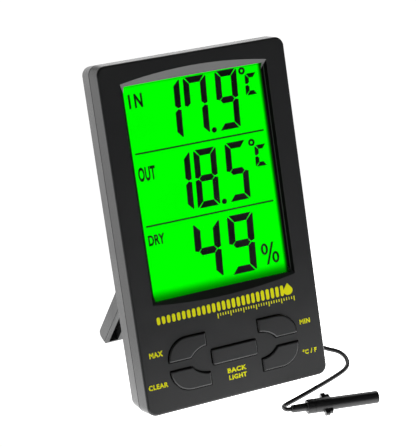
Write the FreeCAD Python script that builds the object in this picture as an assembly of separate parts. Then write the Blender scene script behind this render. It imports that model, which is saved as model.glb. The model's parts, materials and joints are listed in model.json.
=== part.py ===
import FreeCAD, Part
import math
import os

# A table-top maximum minimum thermometer: a slim case with a large display and five keys,
# leaning back on a fold-out stand, with a wired outdoor probe.
#
# Units are millimetres. Most pieces are drawn in the case's own frame: x to the right,
# y backwards from the front face, z up the face, from the middle of the bottom edge.
# lean_back() then tips the case onto its rear bottom edge, into the part's frame:
# +Z up, x to the right, y backwards, origin under the middle of the object's box.

os.makedirs("parts", exist_ok=True)
V = FreeCAD.Vector

# ---------------------------------------------------------------- driving dimensions
CASE_WIDTH = 85.0
CASE_HEIGHT = 148.0
CASE_DEPTH = 20.6
CORNER_RADIUS = 4.2
SEAM_DEPTH = 9.4
WALL = 2.0
FRONT_PLATE = 2.2
LEAN = 26.0                    # degrees that the case leans back from upright
FOOTPRINT_MIDDLE = 41.54       # from the front bottom edge back to the middle of the box
FLOOR_DROP = 7.97              # the rear bottom edge reaches this far below the front one

FACE_INSET = 0.35              # the front face is this much smaller all round than the seam
BACK_INSET = 0.75
FRONT_EDGE_RADIUS = 0.9
BACK_EDGE_RADIUS = 1.4
SEAM_CHAMFER = 0.22
SEAM_GROOVE_WIDTH = 0.35       # the shadow line round the case, between its halves
SEAM_GROOVE_DEPTH = 0.8
LIP_THICKNESS = 0.85
LIP_HEIGHT = 1.4
FIT_GAP = 0.1

WINDOW_WIDTH = 66.3            # the bevelled opening, where it meets the face
WINDOW_BOTTOM = 46.8
WINDOW_TOP = 139.2
TOP_BULGE = 2.9
BOTTOM_BULGE = 2.5
SIGHT_WIDTH = 62.5             # the straight-edged opening at the foot of the bevel
SIGHT_BOTTOM = 47.6
SIGHT_TOP = 138.0
BEVEL_DEPTH = 2.9
STACK_HALF_WIDTH = 33.0        # window, glass and light guide
STACK_TOP = 140.0
STACK_BOTTOM = 46.0

KEY_CENTRE_Z = 19.45
KEY_INNER_X = 12.3
KEY_OUTER_X = 29.8
KEY_HALF_HEIGHT = 11.3
KEY_SPLIT = 1.95               # half of the strip between the upper and lower keys
KEY_OUTER_RADIUS = 8.8
KEY_HOLLOW_RADIUS = 10.0
BAR_WIDTH = 20.8
BAR_HEIGHT = 6.7
BAR_CORNER = 0.8
KEY_RISE = 1.0                 # how far the keys stand out of the face
KEY_EDGE_RADIUS = 0.6
KEY_GAP = 0.45
KEY_FLANGE = 0.7
KEY_TRAVEL = 0.6

BOARD_FRONT = 6.2
BOARD_THICKNESS = 1.2
BOARD_BACK = BOARD_FRONT + BOARD_THICKNESS

CELL_DIAMETER = 10.4           # two AAA cells, lying side by side
CELL_LENGTH = 43.6
CELL_AXIS_Y = 14.0
CELL_LOW_Z = 20.9
CELL_HIGH_Z = 31.9
POCKET_HALF_WIDTH = 25.2
POCKET_BOTTOM = 15.2
POCKET_TOP = 37.6
POCKET_FLOOR = 8.6
POCKET_WALL = 1.0
DOOR_THICKNESS = 1.3
DOOR_MARGIN = 1.0              # the door overlaps the pocket by this much all round
DOOR_GAP = 0.25

PIVOT_Y = CASE_DEPTH - 2.5
PIVOT_Z = 58.4
STAND_OPEN_ANGLE = 53.9        # from folded flat to its stop
LEG_OUTER_X = 36.1
LEG_WIDTH = 9.0
LEG_WALL = 1.5
LEG_RIB = 3.2
LEG_RIM = 1.1                  # a fine line sets off the front edge of the leg's outer wall
LEG_RIM_LINE = 0.25
LEG_DEPTH = 7.4
LEG_BACK = 2.5                 # the leg's outer face lies this far behind the pivot
STAND_GAP = 0.5
HUB_RADIUS = 2.85              # the leg's heel, which turns under the top of its slot
HUB_GAP = 0.06
PIN_RADIUS = 1.0
PIN_RUNNING_FIT = 0.05

SCREW_SHANK = 1.1
SCREW_HEAD = 2.3
SCREW_HEAD_HEIGHT = 1.5
CASE_SCREWS = [(-37.2, 142.3), (37.2, 142.3), (-37.2, 72.0), (37.2, 72.0), (0.0, 6.8)]
RETAINER_SCREWS = [(-37.3, 54.0), (37.3, 54.0), (-37.3, 128.0), (37.3, 128.0)]
BOARD_SCREWS = [(-35.6, 38.4), (35.6, 38.4), (-35.6, 6.8), (35.6, 6.8)]
SENSOR_SCREWS = [(-16.0, 96.0), (16.0, 96.0)]

CORD_RADIUS = 1.0
GLAND_X = 17.5
GLAND_Z = 7.5
GLAND_TAIL = 5.5               # how far the gland reaches out of the back
COIL_CENTRE = V(1.5, 4.3, 0)
COIL_INNER = 6.0
COIL_OUTER = 18.0
COIL_HEIGHT = 8.0

PROBE_START = V(19.1, -52.5, 3.35)  # where the cord enters the probe's boot
PROBE_HEADING = -9.2                # degrees round from +X, seen from above
BOOT_LENGTH = 6.8
COLLAR_LENGTH = 10.9
SLEEVE_LENGTH = 21.7
BOOT_RADIUS = 1.85
COLLAR_RADIUS = 3.2
SLEEVE_RADIUS = 2.85
EAR_TILT = 20.0                # degrees that the collar's ears are turned from level
EAR_REACH = 5.3                # from the probe's axis
EAR_WIDTH = 2.8
EAR_ROUNDING = 0.9
EAR_LENGTH = 2.0                # along the probe's axis
STEP_LENGTH = 1.6               # the lower step between the ears and the sleeve
STEP_DROP = 0.8
RING_FROM = 2.9                 # the collar's ring groove, from its closed end
RING_WIDTH = 0.5
RING_DEPTH = 0.2
COLLAR_ROUNDING = 0.5
BOOT_TAPER = 0.15
BOOT_ROUNDING = 0.35
BOOT_BORE = 3.0                 # how deep the cord goes into the boot
SLEEVE_TAPER = 0.1
TIP_ROUNDING = 0.8
TIP_WALL = 1.2
SLEEVE_BORE_RADIUS = 1.7
SLEEVE_BORE_FROM = 6.0
BEAD_RADIUS = 1.4
BEAD_FROM_TIP = 3.2


# ---------------------------------------------------------------- plain helpers
def box(x0, x1, y0, y1, z0, z1):
    return Part.makeBox(x1 - x0, y1 - y0, z1 - z0, V(x0, y0, z0))


def rod_y(x, z, radius, y0, y1):
    return Part.makeCylinder(radius, y1 - y0, V(x, y0, z), V(0, 1, 0))


def rod_x(y, z, radius, x0, x1):
    return Part.makeCylinder(radius, x1 - x0, V(x0, y, z), V(1, 0, 0))


def join(pieces):
    whole = pieces[0]
    for piece in pieces[1:]:
        whole = whole.fuse(piece)
    return whole.removeSplitter()


def cut(whole, pieces):
    for piece in pieces:
        whole = whole.cut(piece)
    return whole


def group(pieces):
    """Identical loose pieces that share one node."""
    return Part.makeCompound(pieces)


def arc(start, middle, end):
    return Part.Arc(start, middle, end).toShape()


def line(start, end):
    return Part.LineSegment(start, end).toShape()


def turned(centre, radius, degrees, y):
    angle = math.radians(degrees)
    return V(centre[0] + radius * math.cos(angle), y, centre[1] + radius * math.sin(angle))


def rounded_outline(half_width, bottom, top, radius, y):
    """A rectangle with round corners, in the plane at that y."""
    left, right = -half_width + radius, half_width - radius
    low, high = bottom + radius, top - radius
    corners = [(right, low, 270), (right, high, 0), (left, high, 90), (left, low, 180)]
    edges = []
    previous = None
    for x, z, begin in corners:
        first = turned((x, z), radius, begin, y)
        half = turned((x, z), radius, begin + 45, y)
        last = turned((x, z), radius, begin + 90, y)
        if previous is not None:
            edges.append(line(previous, first))
        edges.append(arc(first, half, last))
        previous = last
    edges.append(line(previous, edges[0].Vertexes[0].Point))
    return Part.Wire(edges)


def case_outline(inset, y):
    half_width = CASE_WIDTH / 2 - inset
    return rounded_outline(half_width, inset, CASE_HEIGHT - inset, CORNER_RADIUS - inset * 0.5, y)


def case_block(inset_0, y0, inset_1, y1):
    """A slightly tapered block with the case's outline."""
    return Part.makeLoft([case_outline(inset_0, y0), case_outline(inset_1, y1)], True, True)


def edges_in_plane(shape, y):
    def flat(edge):
        box_ = edge.BoundBox
        return abs(box_.YMin - y) < 1e-4 and abs(box_.YMax - y) < 1e-4
    return [edge for edge in shape.Edges if flat(edge)]


def edges_along_y(shape):
    def straight(edge):
        box_ = edge.BoundBox
        return box_.XLength < 1e-4 and box_.ZLength < 1e-4 and box_.YLength > 0.3
    return [edge for edge in shape.Edges if straight(edge)]


def slab(outline, y0, y1):
    """A flat piece between two depths, from an outline drawn in the plane y = 0."""
    face = Part.Face(outline)
    face.translate(V(0, y0, 0))
    return face.extrude(V(0, y1 - y0, 0))


def cross_recess(x, z, y_face, depth):
    """The cross in a screw head that faces backwards."""
    arm, half = 1.25, 0.28
    upright = box(x - half, x + half, y_face - depth, y_face + 1, z - arm, z + arm)
    level = box(x - arm, x + arm, y_face - depth, y_face + 1, z - half, z + half)
    return upright.fuse(level)


def screw(x, z, seat, length, shank, head, head_height):
    """A pan-head screw driven forwards from behind, its head seated at that depth."""
    stem = rod_y(x, z, shank, seat - length, seat)
    cap = rod_y(x, z, head, seat, seat + head_height)
    cap = cap.makeFillet(0.35, edges_in_plane(cap, seat + head_height))
    return stem.fuse(cap).cut(cross_recess(x, z, seat + head_height, 0.8)).removeSplitter()


def screw_forward(x, z):
    """A small screw driven backwards, its head in front of the sensor board."""
    stem = rod_y(x, z, 0.9, 13.4, 17.4)
    head = rod_y(x, z, 1.8, 12.3, 13.4)
    return stem.fuse(head).removeSplitter()


# ---------------------------------------------------------------- placing and writing
def lean_back(shape):
    """From the case's own frame into the part's frame."""
    placed = shape.copy()
    tilt = FreeCAD.Rotation(V(1, 0, 0), -LEAN)
    shift = V(0, -FOOTPRINT_MIDDLE, FLOOR_DROP)
    placed.Placement = FreeCAD.Placement(shift, tilt).multiply(placed.Placement)
    return placed


def open_stand(shape):
    """From folded flat against the back to its open stop."""
    opened = shape.copy()
    opened.rotate(V(0, PIVOT_Y, PIVOT_Z), V(1, 0, 0), STAND_OPEN_ANGLE)
    return opened


def write(name, shape):
    if not shape.isValid():
        print("NOT VALID:", name)
    shape.exportStep("parts/" + name + ".step")
    written[name] = shape
    print("%-28s %2d solid  %9.2f mm3" % (name, len(shape.Solids), shape.Volume))


written = {}


# ---------------------------------------------------------------- the key outlines
def quarter_key_outline(side, level):
    """One of the four curved keys: side is -1 left or 1 right, level is 1 upper or -1 lower."""
    def at(x, z):
        return V(side * x, 0, KEY_CENTRE_Z + level * z)

    top = KEY_HALF_HEIGHT
    outer = KEY_OUTER_RADIUS
    arc_x = KEY_OUTER_X - outer
    hollow_z = KEY_HALF_HEIGHT - 5.4 - KEY_HOLLOW_RADIUS
    hollow_x = KEY_INNER_X - 0.3
    reach = math.sqrt(KEY_HOLLOW_RADIUS ** 2 - (KEY_SPLIT - hollow_z) ** 2)
    foot = (hollow_x + reach, KEY_SPLIT)
    head = (KEY_INNER_X, hollow_z + math.sqrt(KEY_HOLLOW_RADIUS ** 2 - 0.3 ** 2))
    angle = math.radians(62)
    middle = (hollow_x + KEY_HOLLOW_RADIUS * math.cos(angle),
              hollow_z + KEY_HOLLOW_RADIUS * math.sin(angle))
    half = math.sqrt(0.5) * outer
    edges = [
        line(at(KEY_INNER_X, top), at(arc_x, top)),
        arc(at(arc_x, top), at(arc_x + half, top - outer + half), at(KEY_OUTER_X, top - outer)),
        line(at(KEY_OUTER_X, top - outer), at(KEY_OUTER_X, KEY_SPLIT)),
        line(at(KEY_OUTER_X, KEY_SPLIT), at(*foot)),
        arc(at(*foot), at(*middle), at(*head)),
        line(at(*head), at(KEY_INNER_X, top)),
    ]
    return Part.Wire(edges)


def bar_key_outline():
    half_height = BAR_HEIGHT / 2
    return rounded_outline(BAR_WIDTH / 2, KEY_CENTRE_Z - half_height,
                           KEY_CENTRE_Z + half_height, BAR_CORNER, 0)


KEYS = {
    "max": (quarter_key_outline(-1, 1), (-20.5, KEY_CENTRE_Z + 7.0)),
    "clear": (quarter_key_outline(-1, -1), (-20.5, KEY_CENTRE_Z - 7.0)),
    "light": (bar_key_outline(), (0.0, KEY_CENTRE_Z)),
    "min": (quarter_key_outline(1, 1), (20.5, KEY_CENTRE_Z + 7.0)),
    "unit": (quarter_key_outline(1, -1), (20.5, KEY_CENTRE_Z - 7.0)),
}


def key_cap(outline):
    """The key's cap, with a flange behind the front plate that stops it falling out."""
    cap = slab(outline, -KEY_RISE, FRONT_PLATE + 0.05)
    cap = cap.makeFillet(KEY_EDGE_RADIUS, edges_in_plane(cap, -KEY_RISE))
    flange = slab(outline.makeOffset2D(KEY_FLANGE), FRONT_PLATE + 0.05, FRONT_PLATE + 0.9)
    return join([cap, flange])


def switch_body(x, z):
    shell = box(x - 3, x + 3, 3.8, BOARD_FRONT, z - 3, z + 3)
    shell = shell.makeFillet(0.4, edges_along_y(shell))
    return shell.cut(rod_y(x, z, 1.7, 3.0, 5.8))


def switch_plunger(x, z):
    return rod_y(x, z, 1.6, 3.15, 4.9)


# ---------------------------------------------------------------- front case
def bowed_opening(half_width, bottom, top, y):
    """An outline with upright sides, and top and bottom edges that bow outwards."""
    corners = [V(-half_width, y, bottom), V(half_width, y, bottom),
               V(half_width, y, top), V(-half_width, y, top)]
    return Part.Wire([
        arc(corners[0], V(0, y, bottom - BOTTOM_BULGE), corners[1]),
        line(corners[1], corners[2]),
        arc(corners[2], V(0, y, top + TOP_BULGE), corners[3]),
        line(corners[3], corners[0]),
    ])


def window_cutter():
    """The bevelled opening. Its bowed edges keep one slope down to the straight sight edges,
    so that the bevel is deepest at the middle of the top and bottom."""
    sight = SIGHT_WIDTH / 2
    face_edge = bowed_opening(WINDOW_WIDTH / 2, WINDOW_BOTTOM, WINDOW_TOP, 0)
    foot_edge = bowed_opening(sight, SIGHT_BOTTOM + BOTTOM_BULGE, SIGHT_TOP - TOP_BULGE,
                              BEVEL_DEPTH)
    bevel = Part.makeLoft([face_edge, foot_edge], True, True)
    ahead = slab(face_edge, -1, 0)
    straight = box(-sight, sight, -1, BEVEL_DEPTH + 1, SIGHT_BOTTOM, SIGHT_TOP)
    return [bevel, ahead, straight]


def front_case():
    shell = case_block(FACE_INSET, 0, 0, SEAM_DEPTH - SEAM_CHAMFER)
    shell = shell.makeFillet(FRONT_EDGE_RADIUS, edges_in_plane(shell, 0))
    shell = shell.fuse(case_block(0, SEAM_DEPTH - SEAM_CHAMFER, SEAM_CHAMFER, SEAM_DEPTH))
    groove_front = SEAM_DEPTH - SEAM_GROOVE_WIDTH
    groove = case_block(-1, groove_front, -1, SEAM_DEPTH + 1)
    groove = groove.cut(case_block(SEAM_GROOVE_DEPTH, groove_front - 1,
                                   SEAM_GROOVE_DEPTH, SEAM_DEPTH + 2))
    shell = shell.cut(groove)
    hollow = case_block(WALL + FACE_INSET, FRONT_PLATE, WALL, SEAM_DEPTH + 1)
    rebate_inset = WALL - LIP_THICKNESS - FIT_GAP
    rebate_front = SEAM_DEPTH - LIP_HEIGHT - FIT_GAP
    rebate = case_block(rebate_inset, rebate_front, rebate_inset, SEAM_DEPTH + 1)
    shell = cut(shell, [hollow, rebate])
    half = WINDOW_WIDTH / 2 + 1.5
    rim = box(-half, half, FRONT_PLATE - 0.5, BEVEL_DEPTH, WINDOW_BOTTOM - 4, WINDOW_TOP + 4)
    posts = [rod_y(x, z, 2.7, FRONT_PLATE - 0.5, 13.0) for x, z in CASE_SCREWS]
    posts += [rod_y(x, z, 1.9, FRONT_PLATE - 0.5, 8.4) for x, z in RETAINER_SCREWS]
    posts += [rod_y(x, z, 2.1, FRONT_PLATE - 0.5, BOARD_FRONT) for x, z in BOARD_SCREWS]
    shell = join([shell, rim] + posts)
    holes = window_cutter()
    holes += [rod_y(x, z, SCREW_SHANK, 5.0, 14) for x, z in CASE_SCREWS]
    holes += [rod_y(x, z, 0.9, 3.4, 9) for x, z in RETAINER_SCREWS + BOARD_SCREWS]
    for outline, _ in KEYS.values():
        holes.append(slab(outline.makeOffset2D(KEY_GAP), -1, FRONT_PLATE + 2))
    return cut(shell, holes)


# ---------------------------------------------------------------- rear case
def leg_slot(side, grow):
    """The slot in the back that one folded leg lies in."""
    inner = LEG_OUTER_X - LEG_WIDTH - STAND_GAP - grow
    outer = LEG_OUTER_X + STAND_GAP + grow
    x0, x1 = sorted((side * inner, side * outer))
    front = PIVOT_Y + LEG_BACK - LEG_DEPTH - STAND_GAP - grow
    return box(x0, x1, front, CASE_DEPTH + 1, -2, PIVOT_Z + HUB_RADIUS + HUB_GAP + grow)


def bridge_slot(grow):
    """The shallow recess between the leg slots, for the stand's bridge."""
    half = LEG_OUTER_X - LEG_WIDTH
    return box(-half, half, PIVOT_Y - 3.2 - grow, CASE_DEPTH + 1,
               PIVOT_Z - 10.0 - grow, PIVOT_Z + 4.6 + grow)


def pocket(grow):
    half = POCKET_HALF_WIDTH + grow
    return box(-half, half, POCKET_FLOOR - grow, CASE_DEPTH + 1,
               POCKET_BOTTOM - grow, POCKET_TOP + grow)


def door_outline(grow):
    half = POCKET_HALF_WIDTH - 0.6 + grow
    return rounded_outline(half, POCKET_BOTTOM - DOOR_MARGIN - grow,
                           POCKET_TOP + DOOR_MARGIN + grow, 1.5, 0)


def keyhole():
    head = rod_y(0, 128.5, 4.0, CASE_DEPTH - WALL - 1, CASE_DEPTH + 1)
    neck = box(-2, 2, CASE_DEPTH - WALL - 1, CASE_DEPTH + 1, 128.5, 136)
    end = rod_y(0, 136, 2.0, CASE_DEPTH - WALL - 1, CASE_DEPTH + 1)
    return [head, neck, end]


def vent_slots():
    slots = []
    for index in range(7):
        z = 90.0 + 4.0 * index
        middle = box(-13, 13, CASE_DEPTH - WALL - 1, CASE_DEPTH + 1, z - 0.8, z + 0.8)
        ends = [rod_y(x, z, 0.8, CASE_DEPTH - WALL - 1, CASE_DEPTH + 1) for x in (-13, 13)]
        slots += [middle] + ends
    return slots


def rear_case():
    shell = case_block(0, SEAM_DEPTH + SEAM_CHAMFER, BACK_INSET, CASE_DEPTH)
    shell = shell.makeFillet(BACK_EDGE_RADIUS, edges_in_plane(shell, CASE_DEPTH))
    shell = shell.fuse(case_block(SEAM_CHAMFER, SEAM_DEPTH, 0, SEAM_DEPTH + SEAM_CHAMFER))
    body = shell.copy()
    hollow = case_block(WALL, SEAM_DEPTH - 1, WALL + BACK_INSET, CASE_DEPTH - WALL)
    shell = shell.cut(hollow)
    lip_front = SEAM_DEPTH - LIP_HEIGHT
    lip = case_block(WALL - LIP_THICKNESS, lip_front, WALL - LIP_THICKNESS, SEAM_DEPTH + 1.5)
    lip = lip.cut(case_block(WALL, lip_front - 1, WALL, SEAM_DEPTH + 2))
    posts = [rod_y(x, z, 2.9, 13.0, CASE_DEPTH - 0.5) for x, z in CASE_SCREWS]
    posts += [rod_y(x, z, 1.9, 14.6, CASE_DEPTH - 0.5) for x, z in SENSOR_SCREWS]
    walls = [leg_slot(-1, 1.1), leg_slot(1, 1.1), bridge_slot(1.1), pocket(POCKET_WALL)]
    collar = rod_y(GLAND_X, GLAND_Z, 4.2, CASE_DEPTH - 4.0, CASE_DEPTH)
    inside = join(walls + posts + [collar]).common(body.fuse(pocket(POCKET_WALL)))
    inside = inside.common(box(-50, 50, 0, CASE_DEPTH, 0.5, 200))
    shell = join([shell, lip, inside])
    holes = [leg_slot(-1, 0), leg_slot(1, 0), bridge_slot(0), pocket(0)]
    holes.append(slab(door_outline(DOOR_GAP), CASE_DEPTH - DOOR_THICKNESS - DOOR_GAP, CASE_DEPTH + 1))
    holes += [rod_y(x, z, 1.4, 12, CASE_DEPTH + 1) for x, z in CASE_SCREWS]
    holes += [rod_y(x, z, 2.7, 17.6, CASE_DEPTH + 1) for x, z in CASE_SCREWS]
    holes += [rod_y(x, z, 0.9, 13, 18.0) for x, z in SENSOR_SCREWS]
    holes += keyhole() + vent_slots()
    holes.append(rod_y(GLAND_X, GLAND_Z, 2.4, 10, CASE_DEPTH + 1))
    for side in (-1, 1):
        x0, x1 = sorted((side * (LEG_OUTER_X - 1), side * (LEG_OUTER_X + 2.6)))
        holes.append(rod_x(PIVOT_Y, PIVOT_Z, PIN_RADIUS, x0, x1))
    for x0, x1, z0, z1 in CONTACT_TABS:
        holes.append(box(x0 - 0.2, x1 + 0.2, 5, POCKET_FLOOR + 1, z0 - 0.2, z1 + 0.2))
    holes += DOOR_TOE_SLOTS
    return cut(shell, holes)


# ---------------------------------------------------------------- display stack
def plate(half_width, bottom, top, radius, y0, y1):
    return slab(rounded_outline(half_width, bottom, top, radius, 0), y0, y1)


def display_window():
    return plate(STACK_HALF_WIDTH, STACK_BOTTOM, STACK_TOP, 0.8, BEVEL_DEPTH, 3.5)


def lcd_retainer():
    """A tray that holds the display stack against the front plate."""
    back = plate(34.3, 42.9, 141.2, 0.8, 8.4, 9.3)
    walls = plate(34.3, 42.9, 141.2, 0.8, 3.9, 8.4)
    walls = walls.cut(plate(STACK_HALF_WIDTH + 0.1, 41.0, STACK_TOP + 0.1, 0.5, 3.0, 9.0))
    ears = []
    for x, z in RETAINER_SCREWS:
        x0, x1 = sorted((x, math.copysign(33.5, x)))
        ears.append(box(x0, x1, 8.4, 9.3, z - 2.2, z + 2.2))
        ears.append(rod_y(x, z, 2.2, 8.4, 9.3))
    tray = join([back, walls] + ears)
    windows = []
    for column in (-1, 1):
        for row in range(3):
            middle = 63 + 29 * row
            x0, x1 = sorted((column * 4, column * 29))
            windows.append(box(x0, x1, 8, 10, middle - 11, middle + 11))
    holes = [rod_y(x, z, 1.0, 8, 10) for x, z in RETAINER_SCREWS]
    return cut(tray, windows + holes)


def lcd_flex():
    """The printed film that joins the glass's ledge to the main board."""
    profile = [(4.75, 45.4), (4.75, 43.0), (6.05, 41.2), (6.05, 37.6)]
    thick = 0.14
    front = [V(-28, y, z) for y, z in profile]
    rear = [V(-28, y + thick, z) for y, z in reversed(profile)]
    points = front + rear
    outline = Part.makePolygon(points + [points[0]])
    return Part.Face(outline).extrude(V(56, 0, 0))


def backlight_leds():
    return group([box(x - 1.6, x + 1.6, 6.4, 7.8, 44.6, 45.9) for x in (-24, -8, 8, 24)])


def board_with_holes(outline, y0, y1, holes):
    blank = slab(outline, y0, y1)
    return cut(blank, [rod_y(x, z, radius, y0 - 1, y1 + 1) for x, z, radius in holes])


def main_board():
    holes = [(x, z, 1.0) for x, z in BOARD_SCREWS]
    holes.append((0.0, 6.8, 3.2))
    outline = rounded_outline(38.2, 4.0, 42.2, 1.0, 0)
    return board_with_holes(outline, BOARD_FRONT, BOARD_BACK, holes)


def controller_chip():
    """The bare chip under its dome of black epoxy."""
    dome = Part.makeSphere(6.5, V(-32, BOARD_BACK - 4.8, 22))
    return dome.common(box(-40, -24, BOARD_BACK, 12, 12, 32))


def crystal():
    can = rod_x(BOARD_BACK + 1.05, 11.0, 1.0, -35, -29)
    leads = box(-29, -27.6, BOARD_BACK, BOARD_BACK + 0.5, 10.2, 11.8)
    return join([can, box(-33, -31, BOARD_BACK, BOARD_BACK + 1, 10.6, 11.4), leads])


def capacitors():
    spots = [(-34.0, 30.0), (-30.0, 30.0), (-34.0, 33.5), (-30.0, 33.5), (36.4, 14.0)]
    return group([box(x - 1, x + 1, BOARD_BACK, BOARD_BACK + 1.2, z - 0.6, z + 0.6)
                  for x, z in spots])


def probe_connector():
    shell = box(29.5, 34.5, BOARD_BACK, BOARD_BACK + 3.4, 24, 30)
    mouth = box(30.2, 33.8, BOARD_BACK + 0.7, BOARD_BACK + 2.7, 23, 28.5)
    return shell.cut(mouth)


def sensor_ribbon():
    """The flat lead from the sensor board down to the main board."""
    profile = [(12.9, 95.5), (12.0, 92.0), (10.2, 88.0), (10.2, 42.2), (7.5, 40.6), (7.5, 39.0)]
    thick = 0.5
    front = [V(-4, y, z) for y, z in profile]
    rear = [V(-4, y + thick, z) for y, z in reversed(profile)]
    points = front + rear
    return Part.Face(Part.makePolygon(points + [points[0]])).extrude(V(8, 0, 0))


def sensor_board():
    holes = [(x, z, 1.0) for x, z in SENSOR_SCREWS]
    return board_with_holes(rounded_outline(19, 92.5, 120, 1, 0), 13.4, 14.6, holes)


def humidity_sensor():
    """A pale perforated capsule that faces the vents."""
    capsule = box(-6, 6, 14.6, 17.4, 100, 115)
    capsule = capsule.makeFillet(0.8, edges_along_y(capsule))
    slots = [box(-4, 4, 16.6, 18, z, z + 1.0) for z in (103, 106, 109, 112)]
    return cut(capsule, slots)


def air_thermistor():
    bead = Part.makeSphere(1.3, V(12.0, 16.6, 110))
    legs = [rod_y(x, 110, 0.25, 14.6, 16.4) for x in (11.4, 12.6)]
    return join([bead] + legs)


# ---------------------------------------------------------------- batteries
CELL_LEFT = -22.6
CELL_RIGHT = CELL_LEFT + CELL_LENGTH
NUB_LENGTH = 0.9
CONTACT_FACE = 24.5
CONTACT_THICKNESS = 0.4
TAB_SPOTS = [(-1, 26.4), (1, 20.9), (1, 31.9)]     # side of the pocket, height up the case
CONTACT_TABS = [
    (min(side * CONTACT_FACE, side * (CONTACT_FACE + CONTACT_THICKNESS)),
     max(side * CONTACT_FACE, side * (CONTACT_FACE + CONTACT_THICKNESS)), z - 2, z + 2)
    for side, z in TAB_SPOTS
]


def battery_cell(z, direction):
    """An AAA cell along x; its positive nub points to that side."""
    can = rod_x(CELL_AXIS_Y, z, CELL_DIAMETER / 2, CELL_LEFT, CELL_RIGHT)
    ends = [edge for edge in can.Edges if edge.BoundBox.XLength < 1e-4]
    can = can.makeFillet(0.6, ends)
    if direction > 0:
        nub = rod_x(CELL_AXIS_Y, z, 1.9, CELL_RIGHT, CELL_RIGHT + NUB_LENGTH)
    else:
        nub = rod_x(CELL_AXIS_Y, z, 1.9, CELL_LEFT - NUB_LENGTH, CELL_LEFT)
    return can.fuse(nub)


def contact_plate(side, z0, z1):
    """A sprung metal plate against one end wall of the pocket."""
    x0, x1 = sorted((side * CONTACT_FACE, side * (CONTACT_FACE + CONTACT_THICKNESS)))
    return box(x0, x1, POCKET_FLOOR + 0.6, 18.4, z0, z1)


def pressed_boss(side, z, nub_end):
    """The raised boss of a contact plate that meets a cell's nub."""
    x0, x1 = sorted((side * CONTACT_FACE, nub_end))
    return rod_x(CELL_AXIS_Y, z, 2.4, x0, x1)


def contact_tab(index):
    x0, x1, z0, z1 = CONTACT_TABS[index]
    return box(x0, x1, BOARD_BACK, POCKET_FLOOR + 0.6, z0, z1)


def bow_spring(side, z, tip):
    """A bowed leaf that presses on the flat end of a cell."""
    root = side * CONTACT_FACE
    near, far = V(root, CELL_AXIS_Y - 4, z), V(root, CELL_AXIS_Y + 4, z)
    crown = V(tip, CELL_AXIS_Y, z)
    thick = V(-side * 0.35, 0, 0)
    outside = arc(near, crown, far)
    inside = arc(far - thick, crown - thick, near - thick)
    sides = [line(far, far - thick), line(near - thick, near)]
    leaf = Part.Face(Part.Wire([outside, sides[0], inside, sides[1]]))
    leaf.translate(V(0, 0, -2))
    return leaf.extrude(V(0, 0, 4))


def bridge_contact():
    """The plate at the left end, which joins the two cells in series."""
    return join([contact_plate(-1, 16.4, 36.4), contact_tab(0),
                 bow_spring(-1, CELL_HIGH_Z, CELL_LEFT),
                 pressed_boss(-1, CELL_LOW_Z, CELL_LEFT - NUB_LENGTH)])


def end_contacts():
    low = join([contact_plate(1, 16.4, 25.4), contact_tab(1), bow_spring(1, CELL_LOW_Z, CELL_RIGHT)])
    high = join([contact_plate(1, 27.4, 36.4), contact_tab(2),
                 pressed_boss(1, CELL_HIGH_Z, CELL_RIGHT + NUB_LENGTH)])
    return group([low, high])


DOOR_TOE_SLOTS = [
    box(x - 3.3, x + 3.3, CASE_DEPTH - 3.1, CASE_DEPTH - DOOR_THICKNESS + 0.1,
        POCKET_BOTTOM - 2.2, POCKET_BOTTOM + 1) for x in (-15, 15)
]


def battery_door():
    """A flush cover with two toes at its lower edge and a snap tongue at its upper one."""
    cover = slab(door_outline(0), CASE_DEPTH - DOOR_THICKNESS, CASE_DEPTH)
    inner = CASE_DEPTH - DOOR_THICKNESS
    toes = [box(x - 3, x + 3, inner - 1.2, inner, POCKET_BOTTOM - 1.9, POCKET_BOTTOM + 1)
            for x in (-15, 15)]
    tongue = box(-5, 5, inner - 1.5, inner, POCKET_TOP - 1.4, POCKET_TOP - 0.4)
    finger_dip = Part.makeCylinder(9, 12, V(-6, CASE_DEPTH + 8.3, POCKET_TOP - 2.6), V(1, 0, 0))
    return join([cover, tongue] + toes).cut(finger_dip)


# ---------------------------------------------------------------- stand
def foot_line(depth_behind_pivot):
    """How far below the pivot the folded leg ends, so that the open foot lies flat."""
    pivot_height = (FLOOR_DROP - PIVOT_Y * math.sin(math.radians(LEAN))
                    + PIVOT_Z * math.cos(math.radians(LEAN)))
    splay = math.radians(STAND_OPEN_ANGLE - LEAN)
    return pivot_height / math.cos(splay) + depth_behind_pivot * math.tan(splay)


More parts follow.
